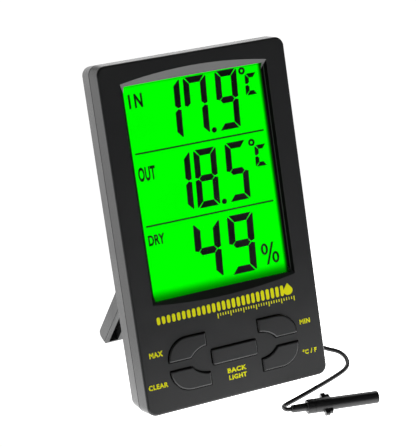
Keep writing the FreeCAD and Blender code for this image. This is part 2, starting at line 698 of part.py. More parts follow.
def leg(side):
    """One channel-section leg, drawn folded, open towards the case.

    The flat on its heel meets the top of the leg's slot when the stand is open.
    """
    front = LEG_BACK - LEG_DEPTH
    back = LEG_BACK
    heel = math.radians(90 - STAND_OPEN_ANGLE)

    def at(y, below):
        return V(0, PIVOT_Y + y, PIVOT_Z - below)

    def on_hub(angle, along=0):
        """A point on the hub's rim, or along the tangent there, towards the back."""
        return at(HUB_RADIUS * math.cos(angle) + along * math.sin(angle),
                  -HUB_RADIUS * math.sin(angle) + along * math.cos(angle))

    flat = (back - HUB_RADIUS * math.cos(heel)) / math.sin(heel)
    outline = Part.Wire([
        line(at(back, 0), on_hub(heel, flat)),
        line(on_hub(heel, flat), on_hub(heel)),
        arc(on_hub(heel), on_hub((heel + math.pi) / 2), on_hub(math.pi)),
        line(on_hub(math.pi), at(front, 5.5)),
        line(at(front, 5.5), at(front, foot_line(front))),
        line(at(front, foot_line(front)), at(back, foot_line(back))),
        line(at(back, foot_line(back)), at(back, 0)),
    ])
    x0 = min(side * LEG_OUTER_X, side * (LEG_OUTER_X - LEG_WIDTH))
    profile = Part.Face(outline)
    profile.translate(V(x0, 0, 0))
    blank = profile.extrude(V(LEG_WIDTH, 0, 0))
    tips = [edge for edge in blank.Edges
            if edge.BoundBox.XLength > LEG_WIDTH - 0.1 and edge.BoundBox.ZMax < PIVOT_Z - 40]
    rear_tip = [edge for edge in tips if edge.BoundBox.YMax > PIVOT_Y]
    front_tip = [edge for edge in tips if edge.BoundBox.YMax < PIVOT_Y]
    blank = blank.makeFillet(1.8, rear_tip)
    blank = blank.makeFillet(0.5, [e for e in blank.Edges if near_edge(e, front_tip)])
    g0, g1 = sorted((side * (LEG_OUTER_X - LEG_WALL),
                     side * (LEG_OUTER_X - LEG_WIDTH + LEG_RIB)))
    web_front = PIVOT_Y + LEG_BACK - 1.5
    groove = box(g0, g1, PIVOT_Y + front - 1, web_front, PIVOT_Z - foot_line(front) + 1.2,
                 PIVOT_Z - 5.0)
    rim = PIVOT_Y + front + LEG_RIM
    r0, r1 = sorted((side * (LEG_OUTER_X - LEG_RIM_LINE), side * (LEG_OUTER_X + 1)))
    rim_line = box(r0, r1, rim, rim + LEG_RIM_LINE, PIVOT_Z - foot_line(front) - 5, PIVOT_Z - 8.0)
    return cut(blank, [groove, rim_line])


def near_edge(edge, targets):
    return any((edge.CenterOfMass - target.CenterOfMass).Length < 0.2 for target in targets)


def stand():
    half = LEG_OUTER_X - LEG_WIDTH
    back = PIVOT_Y + LEG_BACK
    bridge = box(-half - 0.5, half + 0.5, back - 1.5, back, PIVOT_Z - 9.0, PIVOT_Z + 1.2)
    ribs = [box(x - 0.6, x + 0.6, back - 3.4, back, PIVOT_Z - 8.0, PIVOT_Z) for x in (-14, 0, 14)]
    whole = join([leg(-1), leg(1), bridge] + ribs)
    bore = rod_x(PIVOT_Y, PIVOT_Z, PIN_RADIUS + PIN_RUNNING_FIT, -40, 40)
    return open_stand(whole.cut(bore))


def stand_pins():
    pins = []
    for side in (-1, 1):
        x0, x1 = sorted((side * (LEG_OUTER_X - LEG_WIDTH + 1), side * (LEG_OUTER_X + 2.6)))
        pins.append(rod_x(PIVOT_Y, PIVOT_Z, PIN_RADIUS, x0, x1))
    return group(pins)


# ---------------------------------------------------------------- cord and probe
def cord_gland():
    """A rubber grommet gripped by the back, with a tapered tail round the cord."""
    back = CASE_DEPTH
    body = rod_y(GLAND_X, GLAND_Z, 2.4, back - 4.0, back)
    inner_flange = rod_y(GLAND_X, GLAND_Z, 3.4, back - 5.2, back - 4.0)
    outer_flange = rod_y(GLAND_X, GLAND_Z, 3.3, back, back + 1.0)
    outer_flange = outer_flange.makeFillet(0.4, edges_in_plane(outer_flange, back + 1.0))
    tail = Part.makeCone(2.3, 1.45, GLAND_TAIL - 1.0, V(GLAND_X, back + 1.0, GLAND_Z), V(0, 1, 0))
    grommet = join([body, inner_flange, outer_flange, tail])
    return grommet.cut(rod_y(GLAND_X, GLAND_Z, CORD_RADIUS, back - 6, back + GLAND_TAIL + 1))


def route_wire(points):
    """Straight runs joined by tangent arcs as large as the runs beside them allow."""
    edges = []
    radii = []
    begin = points[0]
    for before, corner, after in zip(points, points[1:], points[2:]):
        into = corner - before
        out = after - corner
        turn = into.getAngle(out)
        back_off = 0.45 * min(into.Length, out.Length)
        radii.append(back_off / math.tan(turn / 2))
        into.normalize()
        out.normalize()
        first = corner - into * back_off
        last = corner + out * back_off
        inward = out - into
        inward.normalize()
        half_turn = turn / 2
        depth = radii[-1] / math.cos(half_turn) - radii[-1]
        edges.append(line(begin, first))
        edges.append(arc(first, corner + inward * depth, last))
        begin = last
    edges.append(line(begin, points[-1]))
    return Part.Wire(edges), radii


def tube(name, points):
    """A round cord along a route; the radii and volume are printed to be looked over."""
    path, radii = route_wire(points)
    heading = points[1] - points[0]
    ring = Part.Wire(Part.makeCircle(CORD_RADIUS, points[0], heading))
    solid = path.makePipeShell([ring], True, False)
    expected = math.pi * CORD_RADIUS ** 2 * path.Length
    print(name, "length %.1f" % path.Length, "volume ratio %.3f" % (solid.Volume / expected))
    print("  radii", " ".join("%.1f" % radius for radius in radii))
    return solid


def in_part_frame(x, y, z):
    """A point of the case's own frame, in the part's frame."""
    lean = math.radians(LEAN)
    return V(x, y * math.cos(lean) + z * math.sin(lean) - FOOTPRINT_MIDDLE,
             z * math.cos(lean) - y * math.sin(lean) + FLOOR_DROP)


# The lead's route inside the case, in the case's frame, from the gland's tail to its connector.
LEAD_INSIDE = [
    V(GLAND_X, CASE_DEPTH + GLAND_TAIL, GLAND_Z),
    V(GLAND_X, 10.2, GLAND_Z),
    V(27.0, 9.2, 6.2),
    V(32.0, 9.1, 12.5),
    V(32.0, 9.1, 24.4),
]

# The cord's route in the part's frame, one stretch each side of the coil.
CORD_OUT = [
    in_part_frame(GLAND_X, CASE_DEPTH + GLAND_TAIL, GLAND_Z),
    V(17.5, -10.6, 1.1),
    V(17.6, -6.2, 1.0),
    V(17.3, -1.6, 1.0),
]
CORD_ON = [
    V(17.1, 8.6, 7.0),
    V(18.2, 14.6, 6.5),
    V(19.6, 20.8, 4.4),
    V(21.8, 27.0, 2.0),
    V(25.6, 32.2, 1.05),
    V(31.6, 34.8, 1.0),
    V(38.0, 33.4, 1.0),
    V(42.6, 28.4, 1.0),
    V(44.8, 20.4, 1.0),
    V(45.8, 9.0, 1.0),
    V(47.8, -2.6, 1.0),
    V(50.2, -10.4, 1.0),
    V(53.6, -17.2, 1.0),
    V(59.6, -22.0, 1.0),
    V(59.9, -28.5, 1.0),
    V(56.6, -34.0, 1.0),
    V(45.5, -38.3, 1.0),
    V(34.0, -42.1, 1.0),
    V(25.6, -44.8, 1.0),
    V(20.8, -46.2, 1.05),
    V(17.4, -47.5, 1.4),
    V(16.6, -49.9, 2.1),
    V(17.5, -51.9, 2.9),
    PROBE_START,
]


def cord_coil():
    """The outer shape of the wound cord: a ring that lies on the floor."""
    ring = Part.makeCylinder(COIL_OUTER, COIL_HEIGHT, COIL_CENTRE)
    ring = ring.cut(Part.makeCylinder(COIL_INNER, COIL_HEIGHT, COIL_CENTRE))
    top = [edge for edge in ring.Edges if edge.BoundBox.ZMin > COIL_HEIGHT - 0.01]
    return ring.makeFillet(1.6, top)


def cord_tie():
    """A flat tie round the bundle of turns, on its left side."""
    middle = COIL_CENTRE.x - (COIL_INNER + COIL_OUTER) / 2
    half = (COIL_OUTER - COIL_INNER) / 2
    y0, y1 = COIL_CENTRE.y - 1.5, COIL_CENTRE.y + 1.5
    band = Part.makeBox(2 * half + 1.6, y1 - y0, COIL_HEIGHT + 0.8,
                        V(middle - half - 0.8, y0, 0))
    along = [edge for edge in band.Edges
             if edge.BoundBox.YLength > 1 and edge.BoundBox.ZMin > COIL_HEIGHT]
    band = band.makeFillet(1.8, along)
    return band.cut(cord_coil())


def along_probe(distance):
    angle = math.radians(PROBE_HEADING)
    return PROBE_START + V(math.cos(angle), math.sin(angle), 0) * distance


PROBE_AXIS = V(math.cos(math.radians(PROBE_HEADING)), math.sin(math.radians(PROBE_HEADING)), 0)


def probe_piece(radius_0, radius_1, begin, end):
    length = end - begin
    if abs(radius_0 - radius_1) < 1e-6:
        return Part.makeCylinder(radius_0, length, along_probe(begin), PROBE_AXIS)
    return Part.makeCone(radius_0, radius_1, length, along_probe(begin), PROBE_AXIS)


def end_edges(shape, distance):
    """The edges of a probe piece that lie in one plane across its axis."""
    def across(edge):
        reach = [(vertex.Point - PROBE_START).dot(PROBE_AXIS) for vertex in edge.Vertexes]
        return all(abs(value - distance) < 1e-3 for value in reach)
    return [edge for edge in shape.Edges if across(edge)]


def probe_boot():
    boot = probe_piece(BOOT_RADIUS - BOOT_TAPER, BOOT_RADIUS, 0, BOOT_LENGTH)
    boot = boot.makeFillet(BOOT_ROUNDING, end_edges(boot, 0))
    return boot.cut(probe_piece(CORD_RADIUS, CORD_RADIUS, -1, BOOT_BORE))


def collar_ears(begin, end, reach):
    """A pair of ears across the collar between two distances along it, tilted so that
    the lower one just clears the floor."""
    length = end - begin
    ears = Part.makeBox(2 * reach, EAR_WIDTH, length, V(-reach, -EAR_WIDTH / 2, 0))
    along = [edge for edge in ears.Edges if edge.BoundBox.ZLength > length - 1e-3]
    ears = ears.makeFillet(EAR_ROUNDING, along)
    up = V(0, 0, 1)
    turn = FreeCAD.Rotation(up.cross(PROBE_AXIS), up, PROBE_AXIS, "ZXY")
    tilt = FreeCAD.Rotation(PROBE_AXIS, EAR_TILT)
    ears.Placement = FreeCAD.Placement(along_probe(begin), tilt.multiply(turn))
    return ears


def probe_collar():
    """The probe's cap, with a ring groove and two stepped locking ears at its open end."""
    begin = BOOT_LENGTH
    end = begin + COLLAR_LENGTH
    cap = probe_piece(COLLAR_RADIUS, COLLAR_RADIUS, begin, end)
    cap = cap.makeFillet(COLLAR_ROUNDING, end_edges(cap, begin))
    ring_begin = begin + RING_FROM
    ring_end = ring_begin + RING_WIDTH
    groove = probe_piece(COLLAR_RADIUS + 1, COLLAR_RADIUS + 1, ring_begin, ring_end)
    floor_radius = COLLAR_RADIUS - RING_DEPTH
    groove = groove.cut(probe_piece(floor_radius, floor_radius, ring_begin - 1, ring_end + 1))
    cap = cap.cut(groove)
    step_begin = end - STEP_LENGTH
    ears = collar_ears(step_begin - EAR_LENGTH, step_begin, EAR_REACH)
    steps = collar_ears(step_begin, end, EAR_REACH - STEP_DROP)
    return join([cap, ears, steps])


def probe_sleeve():
    """The sensing tube, closed by a domed tip; hollow, for the thermistor."""
    begin = BOOT_LENGTH + COLLAR_LENGTH
    end = begin + SLEEVE_LENGTH
    sleeve = probe_piece(SLEEVE_RADIUS, SLEEVE_RADIUS - SLEEVE_TAPER, begin, end)
    sleeve = sleeve.makeFillet(TIP_ROUNDING, end_edges(sleeve, end))
    bore_begin = begin + SLEEVE_BORE_FROM
    return sleeve.cut(probe_piece(SLEEVE_BORE_RADIUS, SLEEVE_BORE_RADIUS, bore_begin, end - TIP_WALL))


def probe_thermistor():
    end = BOOT_LENGTH + COLLAR_LENGTH + SLEEVE_LENGTH
    bead = Part.makeSphere(BEAD_RADIUS, along_probe(end - BEAD_FROM_TIP))
    leads = probe_piece(0.5, 0.5, end - 12, end - BEAD_FROM_TIP - 1)
    return join([bead, leads])


# ---------------------------------------------------------------- make everything
def make_case():
    write("front_case", lean_back(front_case()))
    write("rear_case", lean_back(rear_case()))
    write("case_screws", lean_back(group([
        screw(x, z, 17.6, 9.6, SCREW_SHANK, SCREW_HEAD, SCREW_HEAD_HEIGHT)
        for x, z in CASE_SCREWS])))


def make_display():
    top, bottom, half = STACK_TOP, STACK_BOTTOM, STACK_HALF_WIDTH
    write("display_window", lean_back(display_window()))
    write("lcd_front_polariser", lean_back(plate(half - 0.5, bottom + 1, top - 0.5, 0.5, 3.7, 3.9)))
    write("lcd_front_glass", lean_back(plate(half, bottom, top, 0.4, 3.9, 4.9)))
    write("lcd_rear_glass", lean_back(plate(half, 43.2, top, 0.4, 4.9, 5.9)))
    write("lcd_rear_polariser", lean_back(plate(half - 0.5, bottom + 1, top - 0.5, 0.5, 5.9, 6.1)))
    write("light_guide", lean_back(plate(half, bottom, top, 0.4, 6.1, 8.2)))
    write("backlight_reflector", lean_back(plate(half, bottom, top, 0.4, 8.2, 8.4)))
    write("backlight_leds", lean_back(backlight_leds()))
    write("led_board", lean_back(box(-30, 30, 6.1, 8.2, 43.6, 44.6)))
    write("lcd_retainer", lean_back(lcd_retainer()))
    write("retainer_screws", lean_back(group([
        screw(x, z, 9.3, 5.0, 0.9, 1.8, 1.1) for x, z in RETAINER_SCREWS])))
    write("lcd_flex", lean_back(lcd_flex()))


def make_electronics():
    write("main_board", lean_back(main_board()))
    write("board_screws", lean_back(group([
        screw(x, z, BOARD_BACK, 3.6, 0.9, 1.8, 1.1) for x, z in BOARD_SCREWS])))
    write("controller_chip", lean_back(controller_chip()))
    write("crystal", lean_back(crystal()))
    write("capacitors", lean_back(capacitors()))
    write("probe_connector", lean_back(probe_connector()))
    write("sensor_board", lean_back(sensor_board()))
    write("sensor_ribbon", lean_back(sensor_ribbon()))
    write("sensor_screws", lean_back(group([
        screw_forward(x, z) for x, z in SENSOR_SCREWS])))
    write("humidity_sensor", lean_back(humidity_sensor()))
    write("air_thermistor", lean_back(air_thermistor()))


def make_keys():
    write("tact_switches", lean_back(group([switch_body(*spot) for _, spot in KEYS.values()])))
    for name, (outline, spot) in KEYS.items():
        write("button_" + name, lean_back(key_cap(outline)))
        write("plunger_" + name, lean_back(switch_plunger(*spot)))


def make_batteries():
    cells = [battery_cell(CELL_LOW_Z, -1), battery_cell(CELL_HIGH_Z, 1)]
    write("battery_cells", lean_back(group(cells)))
    write("battery_bridge_contact", lean_back(bridge_contact()))
    write("battery_end_contacts", lean_back(end_contacts()))
    write("battery_door", lean_back(battery_door()))


def make_stand():
    write("stand", lean_back(stand()))
    write("stand_pins", lean_back(stand_pins()))


def make_cord():
    write("cord_gland", lean_back(cord_gland()))
    write("probe_lead_inside", lean_back(tube("probe_lead_inside", LEAD_INSIDE)))
    coil = cord_coil()
    write("cord_coil", coil)
    write("cord_tie", cord_tie())
    write("probe_cord_out", tube("probe_cord_out", CORD_OUT).cut(coil))
    write("probe_cord_on", tube("probe_cord_on", CORD_ON).cut(coil))
    write("probe_boot", probe_boot())
    write("probe_collar", probe_collar())
    write("probe_sleeve", probe_sleeve())
    write("probe_thermistor", probe_thermistor())


CORD_NODES = ["cord_coil", "cord_tie", "probe_cord_out", "probe_cord_on", "probe_boot",
              "probe_collar", "probe_sleeve", "probe_thermistor"]

make_case()
make_display()
make_electronics()
make_keys()
make_batteries()
make_stand()
make_cord()

body = Part.makeCompound([shape for name, shape in written.items() if name not in CORD_NODES])
print("box without the cord:", body.optimalBoundingBox(False, False))
print("stand hinge at", in_part_frame(0, PIVOT_Y, PIVOT_Z))
print("nodes:", len(written))
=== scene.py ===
import json
import math

import bmesh
import bpy
from mathutils import Matrix, Quaternion, Vector


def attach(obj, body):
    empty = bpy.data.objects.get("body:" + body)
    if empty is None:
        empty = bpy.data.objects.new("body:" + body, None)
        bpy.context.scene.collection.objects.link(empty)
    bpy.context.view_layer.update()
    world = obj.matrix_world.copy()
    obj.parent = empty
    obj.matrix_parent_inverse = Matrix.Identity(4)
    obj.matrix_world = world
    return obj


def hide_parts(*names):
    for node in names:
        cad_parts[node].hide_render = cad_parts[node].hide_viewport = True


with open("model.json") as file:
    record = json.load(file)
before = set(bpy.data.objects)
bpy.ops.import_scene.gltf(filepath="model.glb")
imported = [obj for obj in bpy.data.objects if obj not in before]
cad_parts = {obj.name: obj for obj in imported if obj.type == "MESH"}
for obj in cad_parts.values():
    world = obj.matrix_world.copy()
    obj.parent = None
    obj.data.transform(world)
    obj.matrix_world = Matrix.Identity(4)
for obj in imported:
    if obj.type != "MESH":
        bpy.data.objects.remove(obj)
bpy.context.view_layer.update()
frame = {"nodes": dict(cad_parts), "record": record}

# A table-top maximum minimum thermometer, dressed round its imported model.
#
# Pieces on the case are drawn in the case's own frame, in millimetres: x to the right,
# y backwards from the front face, z up the face, from the middle of its bottom edge.
# IN_PLACE takes them from there into the part's frame, in metres.

MM = 0.001
LEAN = math.radians(26)
CASE_ORIGIN = Vector((0, -0.04154, 0.00797))
IN_PLACE = Matrix.Translation(CASE_ORIGIN) @ Matrix.Rotation(-LEAN, 4, "X") @ Matrix.Scale(MM, 4)

# The display's edges, at the foot of the bevel round the sight.
SIGHT_HALF_WIDTH = 31.25
SIGHT_BOTTOM = 47.6
SIGHT_TOP = 138.0

# The camera, in metres in the part's frame.
CAMERA_AT = (-0.26606, -0.53568, 0.46338)
CAMERA_AZIMUTH = math.radians(-26.46)
CAMERA_ELEVATION = math.radians(33.32)
CAMERA_ROLL = math.radians(3.25)
CAMERA_LENS = 136.03

# The painted pool of light in the floor's own glow, an oval: brightness against distance, both as
# shares.
POOL_MIDDLE = (0.10, -0.19, 0)
POOL_SHAPE = (1.5, 0.9, 1.0)
POOL_PEAK = 3.3
POOL_LIGHT = [(0.0, 1.0), (0.14, 0.92), (0.30, 0.26), (0.36, 0.24), (0.95, 0.22)]

# The room's light grows in this direction.
BRIGHT_SIDE = (0.65, 0.70, -0.25)
DIMMEST = 0.48
BRIGHTEST = 1.7


# ---------------------------------------------------------------- camera and cord
def make_camera():
    data = bpy.data.cameras.new("camera")
    data.lens = CAMERA_LENS
    data.sensor_width = 36
    data.clip_start = 0.01
    camera = bpy.data.objects.new("camera", data)
    level = math.cos(CAMERA_ELEVATION)
    back = Vector((math.sin(CAMERA_AZIMUTH) * level, -math.cos(CAMERA_AZIMUTH) * level,
                   math.sin(CAMERA_ELEVATION)))
    aim = (-back).to_track_quat("-Z", "Y")
    camera.rotation_mode = "QUATERNION"
    camera.rotation_quaternion = aim @ Quaternion((0, 0, 1), CAMERA_ROLL)
    camera.location = CAMERA_AT
    bpy.context.scene.collection.objects.link(camera)
    bpy.context.scene.camera = camera


# The cord's route in the part's frame, in millimetres, one stretch each side of the coil.
CORD_OUT = [
    (17.5, -14.79, 3.27),
    (17.5, -10.6, 1.1),
    (17.6, -6.2, 1.0),
]
CORD_ON = [
    (18.2, 14.6, 6.5),
    (19.6, 20.8, 4.4),
    (21.8, 27.0, 2.0),
    (25.6, 32.2, 1.05),
    (31.6, 34.8, 1.0),
    (38.0, 33.4, 1.0),
    (42.6, 28.4, 1.0),
    (44.8, 20.4, 1.0),
    (45.8, 9.0, 1.0),
    (47.8, -2.6, 1.0),
    (50.2, -10.4, 1.0),
    (53.6, -17.2, 1.0),
    (59.6, -22.0, 1.0),
    (59.9, -28.5, 1.0),
    (56.6, -34.0, 1.0),
    (45.5, -38.3, 1.0),
    (34.0, -42.1, 1.0),
    (25.6, -44.8, 1.0),
    (20.8, -46.2, 1.05),
    (17.8, -47.6, 1.4),
    (17.2, -50.0, 2.1),
    (17.7, -51.9, 2.9),
    (19.1, -52.5, 3.35),
]
CORD_DIAMETER = 2.0
COIL_CENTRE = (1.5, 4.3)
COIL_BEGIN = math.radians(-20)
COIL_CLIMB = math.radians(60)
POINTS_PER_TURN = 20
COIL_ROWS = [(17.0, 7.0, 5.0), (7.0, 17.0, 5.0), (17.0, 10.0, 3.5), (10.0, 16.2, 3.098)]


def coil_points():
    """The wound turns, row on row from the floor: first radius, last radius, turns."""
    def at(radius, angle, z):
        return (COIL_CENTRE[0] + radius * math.cos(angle),
                COIL_CENTRE[1] + radius * math.sin(angle), z)

    points = []
    angle = COIL_BEGIN
    z = CORD_DIAMETER / 2
    for first, last, turns in COIL_ROWS:
        steps = round(turns * POINTS_PER_TURN)
        for step in range(steps + 1):
            share = step / steps
            points.append(at(first + (last - first) * share, angle + share * turns * math.tau, z))
        angle += turns * math.tau
        if last != COIL_ROWS[-1][1]:
            for climb in (0.25, 0.5, 0.75):
                points.append(at(last, angle + climb * COIL_CLIMB, z + climb * CORD_DIAMETER))
            angle += COIL_CLIMB
            z += CORD_DIAMETER
    return points


def make_cord(material):
    data = bpy.data.curves.new("probe_cord", "CURVE")
    data.dimensions = "3D"
    data.bevel_depth = CORD_DIAMETER / 2 * MM
    data.bevel_resolution = 5
    data.resolution_u = 8
    data.use_fill_caps = True
    points = CORD_OUT + coil_points() + CORD_ON
    spline = data.splines.new("NURBS")
    spline.points.add(len(points) - 1)
    for point, place in zip(spline.points, points):
        point.co = (*(Vector(place) * MM), 1)
    spline.order_u = 3
    spline.use_endpoint_u = True
    data.materials.append(material)
    cord = bpy.data.objects.new("probe_cord", data)
    bpy.context.scene.collection.objects.link(cord)
    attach(cord, "case")
    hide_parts("probe_cord_out", "cord_coil", "probe_cord_on")


# ---------------------------------------------------------------- material helpers
def new_material(name, colour, roughness):
    material = bpy.data.materials.new(name)
    material.use_nodes = True
    shader = material.node_tree.nodes["Principled BSDF"]
    shader.inputs["Base Color"].default_value = (*colour, 1)
    shader.inputs["Roughness"].default_value = roughness
    return material, shader


def add_node(material, kind, inputs, **settings):
    """A shader node; an input is a plain value or another node's output."""
    node = material.node_tree.nodes.new("ShaderNode" + kind)
    for key, value in settings.items():
        setattr(node, key, value)
    for key, value in inputs.items():
        if isinstance(value, bpy.types.NodeSocket):
            material.node_tree.links.new(value, node.inputs[key])
        else:
            node.inputs[key].default_value = value
    return node


def object_place(material):
    """Where a point lies on its own object, in metres."""
    return add_node(material, "TexCoord", {}).outputs["Object"]


def noise(material, size_mm, detail=3.0, stretch=(1, 1, 1)):
    """Noise with features about that many millimetres across."""
    place = add_node(material, "Mapping", {"Vector": object_place(material), "Scale": stretch})
    return add_node(material, "TexNoise", {
        "Vector": place.outputs["Vector"], "Scale": 1 / (size_mm * MM), "Detail": detail,
    }).outputs["Fac"]


def spread(material, value, low, high, from_low=0.3, from_high=0.7):
    """Stretches a value, by default the middle of a noise, over low to high."""
    return add_node(material, "MapRange", {
        "Value": value, "From Min": from_low, "From Max": from_high,
        "To Min": low, "To Max": high,
    }).outputs["Result"]


def blend_colours(material, share, colour_a, colour_b):
    """colour_a where share is 0, colour_b where it is 1."""
    mix = add_node(material, "Mix", {"Factor": share}, data_type="RGBA")
    for socket, colour in ((mix.inputs[6], colour_a), (mix.inputs[7], colour_b)):
        if isinstance(colour, bpy.types.NodeSocket):
            material.node_tree.links.new(colour, socket)
        else:
            socket.default_value = (*colour, 1)
    return mix.outputs[2]


def link(material, output, shader, name):
    material.node_tree.links.new(output, shader.inputs[name])


def bump(material, shader, height, depth_mm):
    """Relief of that many millimetres, from a height between 0 and 1."""
    node = add_node(material, "Bump", {"Height": height, "Distance": depth_mm * MM})
    link(material, node.outputs["Normal"], shader, "Normal")


# ---------------------------------------------------------------- materials
def moulded_plastic(name, colour, roughness, grain_mm=0.28, depth_mm=0.006, variation=0.12):
    """Moulded plastic with a fine spark grain and a little handling wear in its gloss."""
    material, shader = new_material(name, colour, roughness)
    drift = noise(material, 22, detail=4)
    darker = [channel * (1 - variation) for channel in colour]
    lighter = [channel * (1 + variation) for channel in colour]
    link(material, blend_colours(material, drift, darker, lighter), shader, "Base Color")
    wear = noise(material, 9, detail=6)
    gloss = spread(material, wear, roughness * 0.9, roughness * 1.12)
    link(material, gloss, shader, "Roughness")
    bump(material, shader, noise(material, grain_mm, detail=2), depth_mm)
    return material


def rubber(name):
    """Soft black sleeving, faintly dusty, with fine lines from its extrusion."""
    material, shader = new_material(name, (0.016, 0.016, 0.017), 0.42)
    dust = spread(material, noise(material, 3, detail=6), 0.0, 0.35, 0.45, 0.8)
    tone = blend_colours(material, dust, (0.013, 0.013, 0.014), (0.032, 0.032, 0.033))
    link(material, tone, shader, "Base Color")
    bump(material, shader, noise(material, 0.5, detail=4), 0.012)
    return material


def probe_plastic():
    """Smooth black plastic, less glossy than the case."""
    material = moulded_plastic("probe_plastic", (0.013, 0.013, 0.0135), 0.30, 0.5, 0.004)
    material.node_tree.nodes["Principled BSDF"].inputs["Specular IOR Level"].default_value = 0.36
    return material


def clear_window():
    """An anti-glare window, so its surface mirrors very little."""
    material, shader = new_material("clear_window", (1, 1, 1), 0.02)
    shader.inputs["Transmission Weight"].default_value = 1
    shader.inputs["IOR"].default_value = 1.12
    haze = spread(material, noise(material, 14, detail=5), 0.0, 0.03)
    link(material, haze, shader, "Roughness")
    return material


def glass(name, tint):
    material, shader = new_material(name, tint, 0.03)
    shader.inputs["Transmission Weight"].default_value = 1
    shader.inputs["IOR"].default_value = 1.5
    tone = blend_colours(material, noise(material, 18), tint, [c * 0.94 for c in tint])
    link(material, tone, shader, "Base Color")
    return material


def case_coordinates(material):
    """x, y and z in the case's own frame, in millimetres, as three outputs."""
    to_case = add_node(material, "Mapping", {
        "Vector": object_place(material), "Location": CASE_ORIGIN,
        "Rotation": (-LEAN, 0, 0), "Scale": (MM, MM, MM),
    }, vector_type="TEXTURE")
    return add_node(material, "SeparateXYZ", {"Vector": to_case.outputs["Vector"]}).outputs


def edge_shade(material, value, edge, inner, darkest):
    """Painted shade at an edge: 1 inside, falling smoothly to darkest from inner out to edge."""
    return add_node(material, "MapRange", {
        "Value": value, "From Min": edge, "From Max": inner, "To Min": darkest, "To Max": 1.0,
    }, interpolation_type="SMOOTHSTEP").outputs["Result"]


def lit_display():
    """The green back-lit field, darkened at its edges by painted shade from the sight's walls."""
    material, shader = new_material("lit_display", (0.0, 0.004, 0.0), 0.35)
    shader.inputs["Specular IOR Level"].default_value = 0
    x, _, z = case_coordinates(material)
    # Painted shade: the field darkens towards each edge, where the sight's walls shade it.
    painted_shades = [
        edge_shade(material, x, SIGHT_HALF_WIDTH + 0.2, SIGHT_HALF_WIDTH - 1.5, 0.03),
        edge_shade(material, x, -SIGHT_HALF_WIDTH, -SIGHT_HALF_WIDTH + 0.4, 0.8),
        edge_shade(material, z, SIGHT_BOTTOM, SIGHT_BOTTOM + 5.2, 0.22),
        edge_shade(material, z, SIGHT_TOP, SIGHT_TOP - 1.6, 0.70),
    ]
    glow = spread(material, noise(material, 30, detail=2), 0.97, 1.03)
    for shade in painted_shades:
        glow = add_node(material, "Math", {0: glow, 1: shade}, operation="MULTIPLY").outputs[0]
    light = blend_colours(material, glow, (0.0, 0.0, 0.0), (0.0, 1.0, 0.0))
    link(material, light, shader, "Emission Color")
    shader.inputs["Emission Strength"].default_value = 1.0
    return material


def display_ink():
    """The dark state of the liquid crystal, a little uneven."""
    material, shader = new_material("display_ink", (0.014, 0.009, 0.014), 0.5)
    shader.inputs["Specular IOR Level"].default_value = 0.1
    tone = blend_colours(material, noise(material, 2.5, detail=5),
                         (0.010, 0.006, 0.010), (0.022, 0.014, 0.022))
    link(material, tone, shader, "Base Color")
    return material


def yellow_print():
    """Pad-printed ink: flat, slightly thin in places."""
    material, shader = new_material("yellow_print", (0.86, 0.84, 0.0), 0.6)
    shader.inputs["Specular IOR Level"].default_value = 0.15
    tone = blend_colours(material, noise(material, 0.7, detail=5),
                         (0.80, 0.78, 0.0), (0.92, 0.90, 0.0))
    link(material, tone, shader, "Base Color")
    bump(material, shader, noise(material, 0.2), 0.004)
    return material


def circuit_board():
    """Green solder mask over faint copper tracks."""
    material, shader = new_material("circuit_board", (0.02, 0.12, 0.04), 0.3)
    tracks = add_node(material, "TexBrick", {
        "Vector": object_place(material), "Scale": 260.0, "Mortar Size": 0.03,
        "Color1": (0.02, 0.13, 0.045, 1), "Color2": (0.018, 0.11, 0.04, 1),
        "Mortar": (0.05, 0.22, 0.08, 1),
    })
    link(material, tracks.outputs["Color"], shader, "Base Color")
    bump(material, shader, tracks.outputs["Fac"], 0.03)
    return material


def metal(name, colour, roughness, stretch):
    """Plated or drawn metal with fine lines along one direction."""
    material, shader = new_material(name, colour, roughness)
    shader.inputs["Metallic"].default_value = 1
    lines = noise(material, 0.4, detail=4, stretch=stretch)
    link(material, spread(material, lines, roughness * 0.75, roughness * 1.3), shader, "Roughness")
    tone = blend_colours(material, noise(material, 4), [c * 0.88 for c in colour], colour)
    link(material, tone, shader, "Base Color")
    bump(material, shader, lines, 0.004)
    return material


def printed_film():
    material, shader = new_material("printed_film", (0.55, 0.30, 0.06), 0.3)
    stripes = add_node(material, "TexWave", {
        "Vector": object_place(material), "Scale": 300.0, "Distortion": 0.0,
    }, bands_direction="X").outputs["Fac"]
    tone = blend_colours(material, stripes, (0.42, 0.21, 0.04), (0.72, 0.45, 0.14))
    link(material, tone, shader, "Base Color")
    return material


def cell_jacket():
    """A printed sleeve on the cells, with a lighter band at one end."""
    material, shader = new_material("cell_jacket", (0.05, 0.08, 0.10), 0.25)
    x = add_node(material, "SeparateXYZ", {"Vector": object_place(material)}).outputs["X"]
    band = add_node(material, "MapRange", {
        "Value": x, "From Min": 0.0085, "From Max": 0.009, "To Min": 0.0, "To Max": 1.0,
    }).outputs["Result"]
    tone = blend_colours(material, band, (0.04, 0.07, 0.09), (0.55, 0.40, 0.16))
    link(material, tone, shader, "Base Color")
    shader.inputs["Metallic"].default_value = 0.4
    bump(material, shader, noise(material, 1.2), 0.01)
    return material


